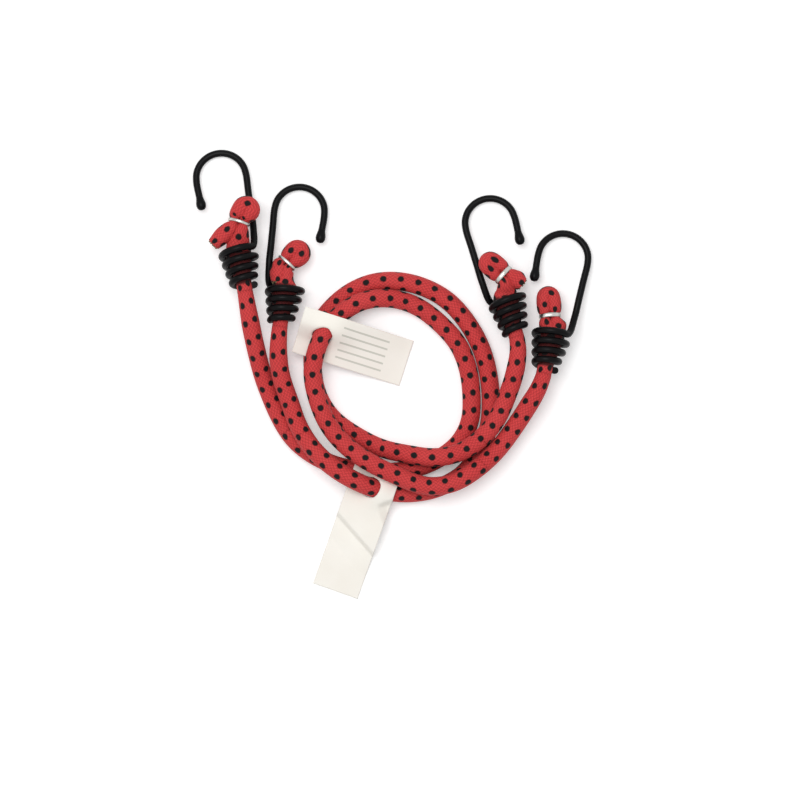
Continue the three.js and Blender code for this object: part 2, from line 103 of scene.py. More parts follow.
# Where the free cord ends, the heading of the hook clockwise from +Y, the side that the shank is on, and how
# much of the cord is free to stretch, in millimetres and degrees
ENDS = {
    1: dict(at=(-64.1, -13.4), heading=-9.9, shank=1, lead=66),
    2: dict(at=(-48.8, -28.9), heading=7, shank=-1, lead=50),
    3: dict(at=(55.6, -33.4), heading=-15, shank=-1, lead=49),
    4: dict(at=(67.6, -49.5), heading=12.2, shank=1, lead=49),
}
CORDS = {
    "a": dict(first=1, last=4, points=[
        (-63.4, -17.3, 13.2), (-62.9, -20.3, 13.3), (-62.4, -23.2, 13.1), (-61, -31, 11.9),
        (-59, -40.5, 8.6), (-56.5, -50.5, 5), (-53, -60, 3.8), (-48.5, -70, 3.7),
        (-42.5, -79, 3.7), (-33.5, -86, 3.7), (-23, -90.5, 3.7), (-11, -92.5, 3.7), (1, -93, 3.7),
        (12.5, -91, 3.7), (22.5, -86.5, 3.7), (30.5, -80, 3.7), (35.3, -70.5, 3.7), (35.9, -58.5, 3.7),
        (34.2, -46.5, 3.7), (29.8, -36, 3.7), (22, -27.2, 3.7), (13.2, -20.3, 3.8), (4.4, -16.8, 4.8),
        (-4.8, -16, 7.6), (-13.2, -17.6, 9.4), (-20, -21.4, 10.2), (-25.2, -25.8, 10.8), (-29, -30.6, 11.5),
        (-31.5, -35.8, 12.8), (-33.5, -42, 13.1), (-34.5, -48.5, 12.9), (-32.5, -60, 12.4),
        (-27.5, -72, 12.4), (-19.5, -81.5, 12.6), (-8.5, -89, 13.3), (3, -94.5, 13.2), (15, -99, 12.4),
        (27, -98, 12.4), (37.5, -92, 12.1), (46.8, -83.6, 10.6), (54.8, -73, 10.2), (61.8, -62, 12.5),
        (63.8, -58.8, 13.1), (65.3, -56.1, 13.3), (66.5, -53.3, 13.2),
    ]),
    "b": dict(first=2, last=3, points=[
        (-49.2, -32.8, 13.2), (-49.4, -35.8, 13.3), (-49.5, -38.8, 13.1), (-49.3, -45, 12),
        (-48, -52, 9.9), (-44.5, -62, 9), (-40.5, -73, 10.6), (-33.5, -83.5, 12.3),
        (-24.5, -91.5, 12.6), (-18, -95.5, 12.5), (-12.3, -98.3, 11.3), (-7, -100.3, 8.1),
        (-1.8, -101.6, 5.3), (4.6, -102.5, 3.9), (12, -102.2, 3.7), (20, -100.5, 3.7), (31.5, -94.5, 3.7),
        (39.3, -84.5, 3.7),
        (43.6, -73, 3.7), (44.5, -61, 3.7), (43.2, -48.5, 3.7), (39.6, -36.6, 3.7), (33, -25.3, 3.7),
        (24.6, -16.4, 3.7), (13, -10.4, 3.7), (1.5, -8.2, 3.7), (-8.5, -9.2, 3.7), (-17.4, -13, 3.7),
        (-24.8, -18.8, 3.7), (-30.4, -25.5, 3.7), (-33.8, -34, 3.7), (-34.6, -45.5, 3.7),
        (-32.8, -57.5, 3.7), (-26.5, -68.5, 3.7), (-16, -76.5, 3.7), (-4, -82.5, 4.2), (7.5, -85, 9.4),
        (19.5, -86.5, 12.4), (30, -84.5, 12.5), (39.5, -78.5, 12.5), (47, -69.5, 12), (51.6, -59, 11.8),
        (54.4, -51, 12.4), (56, -43.3, 13.1), (56.4, -40.3, 13.3), (56.3, -37.3, 13.2),
    ]),
}
print(len(ENDS), "hook ends on", len(CORDS), "cords")

# %% [markdown]
# A limp cord has no corners. A ready-made curve could run through its points, but its steps would be
# uneven, and a braid needs even ones. So a smooth line is worked out through the points and cut into even
# steps, and a few rounds of easing let each point settle towards its neighbours. No point goes below the
# height of a cord that lies on the table.

# %% Smooth routes
SUBSTEPS = 16  # between two chosen points, before the line is cut into even steps
RING_SPACING = 1 * MM
EASING_ROUNDS = 16


def end_frame(end):
    """A hook's own frame: Y along the coil to the crown, X to the right, Z up from the hook's plane."""
    place = Matrix.Translation((end["at"][0] * MM, end["at"][1] * MM, EXIT_HEIGHT))
    turn = Matrix.Rotation(-math.radians(end["heading"]), 4, "Z")
    return place @ turn @ Matrix.Rotation(-HOOK_PITCH, 4, "X")


def along(points):
    """How far along the line each point is."""
    total = [0.0]
    for a, b in zip(points, points[1:]):
        total.append(total[-1] + (b - a).length)
    return total


def even_steps(points, spacing):
    """The same line in even steps of about the spacing."""
    reach = along(points)
    count = max(2, round(reach[-1] / spacing))
    line = []
    index = 0
    for step in range(count + 1):
        goal = reach[-1] * step / count
        while index < len(points) - 2 and reach[index + 1] < goal:
            index += 1
        share = (goal - reach[index]) / (reach[index + 1] - reach[index])
        line.append(points[index].lerp(points[index + 1], share))
    return line


def smooth_line(points, spacing):
    """A centripetal Catmull-Rom line through the points, in even steps of about the spacing."""
    padded = [2 * points[0] - points[1], *points, 2 * points[-1] - points[-2]]
    dense = [points[0]]
    for p0, p1, p2, p3 in zip(padded, padded[1:], padded[2:], padded[3:]):
        d0, d1, d2 = ((b - a).length ** 0.5 for a, b in ((p0, p1), (p1, p2), (p2, p3)))
        leave = ((p1 - p0) / d0 - (p2 - p0) / (d0 + d1) + (p2 - p1) / d1) * d1
        arrive = ((p2 - p1) / d1 - (p3 - p1) / (d1 + d2) + (p3 - p2) / d2) * d1
        for step in range(1, SUBSTEPS + 1):
            t = step / SUBSTEPS
            bend = (3 * (p2 - p1) - 2 * leave - arrive) * t**2 + (2 * (p1 - p2) + leave + arrive) * t**3
            dense.append(p1 + leave * t + bend)
    return even_steps(dense, spacing)


routes = {}
for name, cord in CORDS.items():
    first, last = (end_frame(ENDS[cord[key]]) for key in ("first", "last"))
    straight = Vector((0, -STRAIGHT_OUT, 0))
    middle = [Vector(point) * MM for point in cord["points"]]
    line = [first.translation, first @ straight, *middle, last @ straight, last.translation]
    route = smooth_line(line, RING_SPACING)
    for _ in range(EASING_ROUNDS):
        route[2:-2] = [(a + 2 * b + c) / 4 for a, b, c in zip(route[1:], route[2:-2], route[3:])]
    for point in route:
        point.z = max(point.z, FLOOR_HEIGHT)
    routes[name] = route
    print("cord", name, "runs", round(along(route)[-1] / MM), "mm between its coils")

# %% [markdown]
# ## One way to make every tube
#
# Cords, folds, hooks and clips are all tubes. A flat grid is bent round the line: its long side follows the
# line and its short side goes round the section. The grid keeps its own UV map, in metres along and round
# the cord, so a woven pattern can run on from one piece to the next. A level tube keeps its top up, and a
# carried one turns as little as it can, which suits a wire that loops over itself.

# %% Tube helpers
UV_NAME = "along_and_round"
# the name of a point attribute that holds painted shade for the braid inside a coil
COIL_SHADE_NAME = "painted_coil_shade"
GIRTH = 2 * math.pi * CORD_RADIUS
SAME_PLACE = 1e-7  # points nearer than this are one


def ways_ahead(line):
    """The direction of the line at each point."""
    before = [line[0], *line[:-1]]
    after = [*line[1:], line[-1]]
    return [(b - a).normalized() for a, b in zip(before, after)]


def level_sides(line):
    """The ways across and up at each point, with the top kept up."""
    sides = []
    for ahead in ways_ahead(line):
        across = UP.cross(ahead).normalized()
        sides.append((across, ahead.cross(across)))
    return sides


def carried_sides(line):
    """The ways across and up at each point, turned as little as the line allows."""
    sides = []
    across = (line[1] - line[0]).orthogonal().normalized()
    for ahead in ways_ahead(line):
        across = (across - ahead * across.dot(ahead)).normalized()
        sides.append((across, ahead.cross(across)))
    return sides


def tube(line, sections, sides, frames, start=0.0, turns=None, coil_shading=None):
    """Bends a grid round the line. sections holds half widths and heights, frames the ways across and up."""
    bm = bmesh.new()
    coil_shade_layer = bm.verts.layers.float.new(COIL_SHADE_NAME)
    uv_layer = bm.loops.layers.uv.new(UV_NAME)
    rings = len(line) - 1
    bmesh.ops.create_grid(bm, x_segments=rings, y_segments=sides, size=0.5)
    reach = along(line)
    cells = {}
    for vert in bm.verts:
        cells[vert] = (round((vert.co.x + 0.5) * rings), round((vert.co.y + 0.5) * sides))
    for face in bm.faces:
        for loop in face.loops:
            ring, step = cells[loop.vert]
            turn = turns[ring] if turns else 0.0
            loop[uv_layer].uv = (start + reach[ring], (step / sides + turn) * GIRTH)
    for vert, (ring, step) in cells.items():
        angle = 2 * math.pi * step / sides - math.pi / 2
        half_width, half_height = sections[ring]
        across, top = frames[ring]
        # each point's share of painted shade, for the braid inside a coil
        vert[coil_shade_layer] = coil_shading[ring] if coil_shading else 0.0
        vert.co = line[ring] + across * (half_width * math.cos(angle)) + top * (half_height * math.sin(angle))
    bmesh.ops.remove_doubles(bm, verts=bm.verts[:], dist=SAME_PLACE)
    rims = [edge for edge in bm.edges if edge.is_boundary]
    bmesh.ops.holes_fill(bm, edges=rims, sides=sides)
    return bm


def make_piece(bm, name, material, slot, body, *nodes):
    """Makes the bmesh a smooth piece at the origin, on its body, in place of the solids it stands for."""
    bmesh.ops.recalc_face_normals(bm, faces=bm.faces[:])
    for face in bm.faces:
        face.smooth = len(face.verts) <= 4  # the flat caps have more
    mesh = bpy.data.meshes.new(name)
    bm.to_mesh(mesh)
    bm.free()
    mesh.materials.append(material)
    piece = bpy.data.objects.new(name, mesh)
    scene.collection.objects.link(piece)
    if nodes:
        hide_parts(*nodes)
    if body:
        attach(piece, body)
    print(name, len(mesh.polygons), "faces")
    return piece


# %% [markdown]
# ## Helpers for the finishes
#
# Colours are written as sRGB hex values, as in any paint program, and one function makes them linear for the
# shader. One more function adds a node with its settings and links, and gives back one of its outputs.

# %% Colour and node helpers
def linear(code):
    """An sRGB hex value as linear red, green, blue and alpha."""
    channels = [int(code[place : place + 2], 16) / 255 for place in (1, 3, 5)]
    return (*(c / 12.92 if c <= 0.04045 else ((c + 0.055) / 1.055) ** 2.4 for c in channels), 1.0)


def add_node(tree, kind, inputs=None, out=0, **settings):
    """Adds a node, links or sets its inputs, and gives back one of its outputs."""
    node = tree.nodes.new(kind)
    for name, value in settings.items():
        setattr(node, name, value)
    for key, value in (inputs or {}).items():
        if isinstance(value, bpy.types.NodeSocket):
            tree.links.new(value, node.inputs[key])
        else:
            node.inputs[key].default_value = value
    return node.outputs[out]


def new_material(name):
    material = bpy.data.materials.new(name)
    material.use_nodes = True
    tree = material.node_tree
    return material, tree, tree.nodes["Principled BSDF"]


# %% [markdown]
# ## Braided polyester with black dots
#
# The sheath is braided from flat bundles of polyester yarn that cross at a slant, each going over one and
# under the next. Most bundles are red, and black ones come to the top at regular places, which gives rows
# of dots round the cord. Both patterns could be painted, but they are worked out from the UV map in metres,
# so their sizes are real: dots not quite 3 mm wide and 7.65 mm apart in five rows, each row a fifth of the
# spacing behind the last.

# %% Dots from the UV map
DOT_ROWS = 5
DOT_SPACING = 7.65 * MM
DOT_SHIFT = 0.2  # of the spacing, from one row to the next
DOT_RADIUS = 1.42 * MM
DOT_EDGE = 0.3 * MM  # half the width of its soft edge
DOT_RAGGED = 0.7 * MM  # how uneven that edge is

sheath, tree, shader = new_material("braided_polyester_red")
uv = add_node(tree, "ShaderNodeUVMap", uv_map=UV_NAME)
per_dot = (1 / DOT_SPACING, DOT_ROWS / GIRTH, 0)
counted = add_node(tree, "ShaderNodeVectorMath", {0: uv, 1: per_dot}, operation="MULTIPLY")
split = add_node(tree, "ShaderNodeSeparateXYZ", {0: counted}).node.outputs
row = add_node(tree, "ShaderNodeMath", {0: split["Y"]}, operation="ROUND")
shifted = add_node(tree, "ShaderNodeMath", {0: row, 1: -DOT_SHIFT, 2: split["X"]}, operation="MULTIPLY_ADD")
joined = add_node(tree, "ShaderNodeCombineXYZ", {"X": shifted, "Y": split["Y"]})
half, minus_half = (0.5, 0.5, 0.5), (-0.5, -0.5, -0.5)
in_cell = add_node(tree, "ShaderNodeVectorMath", {0: joined, 1: half, 2: minus_half}, operation="WRAP")
cell = (DOT_SPACING, GIRTH / DOT_ROWS, 0)
from_dot = add_node(tree, "ShaderNodeVectorMath", {0: in_cell, 1: cell}, operation="MULTIPLY")
distance = add_node(tree, "ShaderNodeVectorMath", {0: from_dot}, "Value", operation="LENGTH")
wobble = add_node(tree, "ShaderNodeTexNoise", {"Vector": uv, "Scale": 0.6 / MM, "Detail": 2.0})
ragged = add_node(tree, "ShaderNodeMath", {0: wobble, 1: DOT_RAGGED, 2: distance}, operation="MULTIPLY_ADD")
dot_reach = DOT_RADIUS + DOT_RAGGED / 2
dots = add_node(
    tree,
    "ShaderNodeMapRange",
    {"Value": ragged, "From Min": dot_reach + DOT_EDGE, "From Max": dot_reach - DOT_EDGE},
    interpolation_type="SMOOTHSTEP",
)
print("dots", DOT_ROWS, "rows,", round(GIRTH / DOT_ROWS / MM, 1), "mm between rows")

# %% [markdown]
# The braid itself is two sets of slanted bundles. A product of the UV with a slant counts the bundles of
# one set, and the whole numbers of both sets, added, are odd or even like a chess board: that says which
# set is on top. The bundles are a bit over a millimetre wide. Polyester yarn has a soft look with little
# gloss. The crowns of the bundles are painted lighter and the valleys between them painted darker, as
# painted shade.

# %% Braid, colour and finish
YARN_BUNDLES = 16  # round the cord, in either slant
YARN_REPEAT = 2.2 * MM  # along the cord
crowns = []
numbers = []
for slant in (1, -1):
    per_yarn = (1 / YARN_REPEAT, slant * YARN_BUNDLES / GIRTH, 0)
    yarn = add_node(tree, "ShaderNodeVectorMath", {0: uv, 1: per_yarn}, "Value", operation="DOT_PRODUCT")
    crowns.append(add_node(tree, "ShaderNodeMath", {0: yarn, 1: 0.5}, operation="PINGPONG"))
    numbers.append(add_node(tree, "ShaderNodeMath", {0: yarn}, operation="FLOOR"))
both = add_node(tree, "ShaderNodeMath", {0: numbers[0], 1: numbers[1]}, operation="ADD")
over = add_node(tree, "ShaderNodeMath", {0: both, 1: 1.0}, operation="PINGPONG")
crown = add_node(tree, "ShaderNodeMix", {"Factor": over, "A": crowns[0], "B": crowns[1]})
lit = add_node(tree, "ShaderNodeMapRange", {"Value": crown, "From Max": 0.4})
# crowns painted lit, and valleys between the bundles painted in shade
yarn_red = add_node(
    tree,
    "ShaderNodeMix",
    {"Factor": lit, "A": linear("#961F22"), "B": linear("#CC3B3D")},
    "Result",
    data_type="RGBA",
)
patches = add_node(tree, "ShaderNodeTexNoise", {"Vector": uv, "Scale": 0.05 / MM, "Detail": 1.0})
fade = add_node(tree, "ShaderNodeMapRange", {"Value": patches, "To Max": 0.35})
faded = add_node(
    tree,
    "ShaderNodeMix",
    {"Factor": fade, "A": yarn_red, "B": linear("#DA5654")},
    "Result",
    data_type="RGBA",
)
black = linear("#0C0809")
dotted = {"Factor": dots, "A": faded, "B": black}
colour = add_node(tree, "ShaderNodeMix", dotted, "Result", data_type="RGBA")
# Inside a coil the braid is mixed towards black: painted shade where the wire's turns shade the cord.
coil_shade = add_node(tree, "ShaderNodeAttribute", out="Fac", attribute_name=COIL_SHADE_NAME)
shaded_in_coil = {"Factor": coil_shade, "A": colour, "B": black}
colour = add_node(tree, "ShaderNodeMix", shaded_in_coil, "Result", data_type="RGBA")
bump = add_node(tree, "ShaderNodeBump", {"Strength": 0.5, "Distance": 0.5 * MM, "Height": crown})
tree.links.new(colour, shader.inputs["Base Color"])
tree.links.new(bump, shader.inputs["Normal"])
shader.inputs["Roughness"].default_value = 0.75
shader.inputs["Specular IOR Level"].default_value = 0.2
shader.inputs["Sheen Weight"].default_value = 0.05
shader.inputs["Sheen Roughness"].default_value = 0.4
print("braid", 2 * YARN_BUNDLES, "bundles of", round(GIRTH / YARN_BUNDLES / MM, 2), "mm")

# %% [markdown]
# ## Rubber threads
#
# Inside the sheath is a bundle of square-cut natural rubber threads, dusted so that they slide on each
# other. They show only at the cut ends, dull and creamy. They run along the cord, so the pattern only
# counts them round it, and each is lit on its crown and dark in the gap to the next.

# %% Core material
THREADS_ROUND = 14
rubber, tree, shader = new_material("natural_rubber_threads")
uv = add_node(tree, "ShaderNodeUVMap", uv_map=UV_NAME)
per_thread = (0, THREADS_ROUND / GIRTH, 0)
thread = add_node(tree, "ShaderNodeVectorMath", {0: uv, 1: per_thread}, "Value", operation="DOT_PRODUCT")
crown = add_node(tree, "ShaderNodeMath", {0: thread, 1: 0.5}, operation="PINGPONG")
lit = add_node(tree, "ShaderNodeMapRange", {"Value": crown, "From Max": 0.4})
# creamy dusted rubber on each thread's crown, and painted shade in the gaps between threads
dust_and_gap_shade = {"Factor": lit, "A": linear("#7C6B4C"), "B": linear("#CDBE98")}
tone = add_node(tree, "ShaderNodeMix", dust_and_gap_shade, "Result", data_type="RGBA")
bump = add_node(tree, "ShaderNodeBump", {"Strength": 0.5, "Distance": 0.4 * MM, "Height": crown})
tree.links.new(tone, shader.inputs["Base Color"])
tree.links.new(bump, shader.inputs["Normal"])
shader.inputs["Roughness"].default_value = 0.6
print("core", THREADS_ROUND, "threads on its outside")

# %% [markdown]
# ## The cords
#
# Each cord is made in three stretches, as its solids are: two leads that stretch when a hook is pulled, and
# the looped middle. The rings of two stretches meet on the same place, so no seam shows at rest. Where a
# cord lies on the table its underside is pressed flat. A cord twists a little along its way, so sometimes
# one row of dots is on top, and sometimes two.

# %% Sheaths and cores
CORE_RADIUS = 2.6 * MM
EXIT_RADIUS = 3.45 * MM  # a cord narrows where it goes into a coil
NARROWING = 14 * MM
CORD_SIDES = 28
CORE_SIDES = 12
DOT_START = {"a": -1.55, "b": 0.0}  # millimetres that slide the dots along
# The twist: millimetres along the cord, and turns round it
DOT_TURN = {
    "a": [(0, 0), (130, 0), (190, 0.1), (300, 0.1), (395, 0.2), (500, 0.2)],
    "b": [(0, 0), (110, 0), (170, -0.02), (240, 0.06), (340, 0.1), (500, 0.1)],
}


def stretch(line, radii, sides, start=0.0, turns=None):
    """A round tube, pressed flat where it would go below the table."""
    bm = tube(line, [(radius, radius) for radius in radii], sides, level_sides(line), start, turns)
    for vert in bm.verts:
        vert.co.z = max(vert.co.z, 0.0)
    return bm


def turn_at(marks, place):
    """The turn at a place, on straight lines between marks of a place and a turn."""
    for (low, first), (high, last) in zip(marks, marks[1:]):
        if place <= high:
            return first + (last - first) * (place - low) / (high - low)
    return marks[-1][1]


braids = {}
dots_at = {}
for name, cord in CORDS.items():
    route = routes[name]
    reach = along(route)
    first_cut = round(ENDS[cord["first"]]["lead"] * MM / RING_SPACING)
    last_cut = len(route) - 1 - round(ENDS[cord["last"]]["lead"] * MM / RING_SPACING)
    turns = [turn_at(DOT_TURN[name], place / MM) for place in reach]
    radii = []
    for place in reach:
        share = min(place / NARROWING, (reach[-1] - place) / NARROWING, 1)
        radii.append(EXIT_RADIUS + (CORD_RADIUS - EXIT_RADIUS) * share)
    dots_at[cord["first"]] = (-DOT_START[name] * MM, -turns[0])
    dots_at[cord["last"]] = (reach[-1] + DOT_START[name] * MM, turns[-1])
    parts = {
        f"lead_{cord['first']}": (0, first_cut),
        f"loop_{name}": (first_cut, last_cut),
        f"lead_{cord['last']}": (last_cut, len(route) - 1),
    }
    for part, (low, high) in parts.items():
        line = route[low : high + 1]
        start = reach[low] + DOT_START[name] * MM
        body = None if part.startswith("lead") else "looped_middle"
        bm = stretch(line, radii[low : high + 1], CORD_SIDES, start, turns[low : high + 1])
        braid = make_piece(bm, f"braid_{part}", sheath, "sheath_red", body, f"sheath_{part}")
        bm = stretch(line, [CORE_RADIUS] * len(line), CORE_SIDES, start)
        core = make_piece(bm, f"threads_{part}", rubber, "core_rubber", body, f"core_{part}")
        braids[part] = (braid, core, line)

# %% [markdown]
# A lead has to follow its hook when it is pulled or turned, but here each lead's sheath and core are only
# baked in place, on no body, and the length of each stretch is printed. Then each stretch is declared as a
# cord, with its real length and the line
# it follows.

# %% Leads baked in place
for part, (braid, core, line) in braids.items():
    if part.startswith("lead"):
        for piece in (braid, core):
            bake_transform(piece)
    print(part, round(along(line)[-1] / MM), "mm")

# %% [markdown]
# ## The folded ends
#
# At each end the cord goes up through the coil, is folded back on itself, and a wire clip is squeezed round
# the fold's waist, so the knob above it can't slip back through the coil. A bevelled curve would keep one
# section all the way. Here each station has a place and its own half width and half height, in one list of
# five numbers, and the same smooth line that serves the routes runs through all five: squeezed in the coil,
# pinched in the clip, swollen in the knob and spread at the cut end.

# %% Folds
# Lengths are in millimetres, and a section is a half width and a half height
FOLD_SIDES = 28
FOLD_SPACING = 0.5
FILLING = [(2.2, 3.4), (4, 3.5), (9, 4.4), (14, 5.2), (18, 5.6)]  # places up the coil, and half widths
FILLING_HEIGHT = 4.8  # the half height stops here
COIL_SHADE_SPAN = (2.5, 19.5)  # the coil's two ends, between which the braid is darkened with painted shade
COIL_SHADE_STRENGTH = 0.86
WAIST_SPREAD = 1.9  # from the waist's middle to the middle of either leg
WAIST_REACH = 0.6  # along the fold, to either side of the clip
WAIST = (1.97, 2.7)
SHOULDER_SPREAD = 2.2
SHOULDER_REACH = 2.5
SHOULDER = (3.05, 3.45)
HALF_HEIGHT = 3.7
KNOB_STEPS = 4
WAIST_LIFT = 0.75  # of the knob's lift
CUT_LIFT = 0.4
STANDING_SHARE = 0.6  # where the standing cord swells, from the shoulder to the coil's wide end
CUT_SHARE = 0.5  # where the cut leg swells, from the shoulder to the cut
CUT_SWELLING = 1
CUT_FLATTENING = 0.92

# Millimetres in the hook's frame, along it from the coil's wide end and across it towards the shank. The
# clip has a place along and across, the standing cord a place across and a half width, the cut end a place
# along and across and a half width. The knob has its way ahead of the clip and aside, its bend and its half
# width. The lean is in degrees, and the twist in turns.
FOLDS = {
    1: dict(clip=(11.2, 2.5), lean=27, lift=5.6, standing=(1, 5), cut=(3.8, -10.2, 2.9), twist=0.1,
            knob=(6, 1.5, 2.3, 4)),
    2: dict(clip=(9.6, 0.5), lean=-35, lift=0.4, standing=(0, 3.4), cut=(0.4, 3.4, 2.9), twist=0.1,
            knob=(6.4, -0.4, 2.2, 3.8)),
    3: dict(clip=(8.4, -1.6), lean=33, lift=5.6, standing=(-1, 4.4), cut=(2.7, -8.3, 3.2), twist=0.1,
            knob=(7.6, 0.2, 1.9, 3.4)),
    4: dict(clip=(6.6, -2.5), lean=-17, lift=0.4, standing=(-2.3, 4.2), cut=(0.6, 3, 3.1), twist=0.1,
            knob=(8.2, 0, 1.9, 3.4)),
}


def fold_frame(fold):
    """The middle of the waist, the way that the fold leans, the way across it and the side of the cut end."""
    lean = math.radians(fold["lean"])
    waist = Vector((fold["clip"][1], MOUTH_ALONG / MM + fold["clip"][0], fold["lift"] * WAIST_LIFT))
    ahead = Vector((math.sin(lean), math.cos(lean), 0))
    aside = Vector((math.cos(lean), -math.sin(lean), 0))
    return waist, ahead, aside, math.copysign(1, fold["cut"][1])


def fold_stations(fold):
    """The fold's middle line with its half widths and half heights, in millimetres in the hook's frame."""
    waist, ahead, aside, tail_side = fold_frame(fold)
    mouth = MOUTH_ALONG / MM

    def leg(side, on, spread):
        return waist + aside * (side * tail_side * spread) + ahead * on

    standing = leg(-1, -SHOULDER_REACH, SHOULDER_SPREAD).lerp(Vector((0, mouth, 0)), STANDING_SHARE)
    standing.x = fold["standing"][0]
    cut_along, cut_across, cut_width = fold["cut"]
    cut = Vector((cut_across, mouth + cut_along, fold["lift"] * CUT_LIFT))
    knob_ahead, knob_aside, knob_bend, knob_width = fold["knob"]
    bend = waist + ahead * knob_ahead + aside * knob_aside
    bend.z = fold["lift"]
    up_leg = [
        (-SHOULDER_REACH, SHOULDER_SPREAD, SHOULDER),
        (-WAIST_REACH, WAIST_SPREAD, WAIST),
        (WAIST_REACH, WAIST_SPREAD, WAIST),
        (SHOULDER_REACH, SHOULDER_SPREAD, SHOULDER),
    ]
    stations = [(0, 0, 0, EXIT_RADIUS / MM, EXIT_RADIUS / MM)]
    stations += [(0, on, 0, radius, min(radius, FILLING_HEIGHT)) for on, radius in FILLING]
    stations.append((*standing, fold["standing"][1], HALF_HEIGHT))
    stations += [(*leg(-1, on, spread), *section) for on, spread, section in up_leg]
    for step in range(KNOB_STEPS + 1):
        angle = math.pi * step / KNOB_STEPS
        swing = aside * (-tail_side * knob_bend * math.cos(angle)) + ahead * (knob_bend * math.sin(angle))
        stations.append((*(bend + swing), knob_width, HALF_HEIGHT))
    stations += [(*leg(1, on, spread), *section) for on, spread, section in reversed(up_leg)]
    swollen = leg(1, -SHOULDER_REACH, SHOULDER_SPREAD).lerp(cut, CUT_SHARE)
    stations.append((*swollen, cut_width + CUT_SWELLING, HALF_HEIGHT))
    stations.append((*cut, cut_width, CUT_FLATTENING * HALF_HEIGHT))
    return [Vector(station) for station in stations]


fold_ends = {}
for number, fold in FOLDS.items():
    end = ENDS[number]
    stations = smooth_line(fold_stations(fold), FOLD_SPACING)
    line = [Vector((end["shank"] * x, y, z)) * MM for x, y, z, _, _ in stations]
    sections = [(width * MM, height * MM) for _, _, _, width, height in stations]
    frames = level_sides(line)
    start, first_turn = dots_at[number]
    turns = []
    coil_shading = []
    for station in stations:
        above, below = station.y - COIL_SHADE_SPAN[0], COIL_SHADE_SPAN[1] - station.y
        up_coil = min(max(above / (COIL_SHADE_SPAN[1] - COIL_SHADE_SPAN[0]), 0), 1)
        turns.append(first_turn + (fold["twist"] - first_turn) * up_coil)
        # painted shade inside the coil, fading in over a millimetre from each of the coil's ends
        coil_shading.append(COIL_SHADE_STRENGTH * max(min(above, below, 1), 0))
    bm = tube(line, sections, FOLD_SIDES, frames, start, turns, coil_shading)
    bmesh.ops.transform(bm, matrix=end_frame(end), verts=bm.verts[:])
    make_piece(bm, f"fold_{number}", sheath, "sheath_red", f"hook_end_{number}", f"folded_end_{number}")
    fold_ends[number] = (line[-1], (line[-1] - line[-4]).normalized(), frames[-1], sections[-1])

# %% [markdown]
# ## Cut threads
#
# At a cut end the rubber threads spring out a little further than the sheath. Each is a short stub, made by
# one operator and set in rings in the oval of the cut.

# %% Thread ends
THREAD_RADIUS = 0.5 * MM
THREAD_RINGS = [(0.0, 1), (0.36, 6), (0.72, 11)]  # share of the cut's half width, and threads
THREAD_REACH = 0.5  # millimetres past the sheath
THREAD_UNEVEN = 0.25  # more or less than that
UNEVEN_WAVES = 7  # in one ring
THREAD_TAPER = 0.85
THREAD_SIDES = 8
for number, (cut, ahead, (across, top), (width, height)) in fold_ends.items():
    bm = bmesh.new()
    upright = ahead.to_track_quat("Z", "Y").to_matrix().to_4x4()
    for share, count in THREAD_RINGS:
        for step in range(count):
            angle = 2 * math.pi * step / count + share
            spot = cut + across * (share * width * math.cos(angle)) + top * (share * height * math.sin(angle))
            reach = (THREAD_REACH + THREAD_UNEVEN * math.sin(UNEVEN_WAVES * angle)) * MM
            bmesh.ops.create_cone(
                bm,
                cap_ends=True,
                segments=THREAD_SIDES,
                radius1=THREAD_RADIUS,
                radius2=THREAD_TAPER * THREAD_RADIUS,
                depth=2 * reach,
                matrix=Matrix.Translation(spot) @ upright,
            )
    bmesh.ops.transform(bm, matrix=end_frame(ENDS[number]), verts=bm.verts[:])
    make_piece(bm, f"cut_threads_{number}", rubber, "core_rubber", f"hook_end_{number}")

# %% [markdown]
# ## Dipped steel wire
#
# The hooks are bent from spring steel wire and dipped in black vinyl, which leaves a smooth, half glossy
# skin with a faint orange peel, and a drop at the tip. Vinyl bends light like most plastics, so its IOR is
# 1.53, but dust and rubbing take most of the gloss away.

# %% Coating material
coating, tree, shader = new_material("dipped_vinyl_black")
spot = add_node(tree, "ShaderNodeTexCoord", out="Object")
peel = add_node(tree, "ShaderNodeTexNoise", {"Vector": spot, "Scale": 0.9 / MM, "Detail": 2.0})
dust = add_node(tree, "ShaderNodeTexNoise", {"Vector": spot, "Scale": 0.12 / MM, "Detail": 3.0})
greyed = {"Factor": dust, "A": linear("#020203"), "B": linear("#0B0B0D")}
tone = add_node(tree, "ShaderNodeMix", greyed, "Result", data_type="RGBA")
gloss = add_node(tree, "ShaderNodeMapRange", {"Value": dust, "To Min": 0.28, "To Max": 0.44})
bump = add_node(tree, "ShaderNodeBump", {"Strength": 0.15, "Distance": 0.15 * MM, "Height": peel})
tree.links.new(tone, shader.inputs["Base Color"])
tree.links.new(gloss, shader.inputs["Roughness"])
tree.links.new(bump, shader.inputs["Normal"])
shader.inputs["IOR"].default_value = 1.53
shader.inputs["Specular IOR Level"].default_value = 0.09
print("coating", coating.name)

# %% [markdown]
# ## Hooks
#
# One piece of wire makes a whole hook: a short leg, the round crown, the long shank, and four turns of a
# cone that tightens on the cord. The line is laid out once in the hook's own frame. A hook with its shank
# on the left is the same hook rolled over, so its coil has the same hand.

# %% The wire's line
WIRE_SIDES = 16
WIRE_SPACING = 0.7 * MM
CROWN_STEPS = 8
SHANK_STEPS = 4
TURN_STEPS = 12
LEG_LENGTH = 9.1 * MM
LEG_INWARD = 0.3 * MM
SHANK_OFFSET = 9 * MM
COIL_NECK = 4.6 * MM

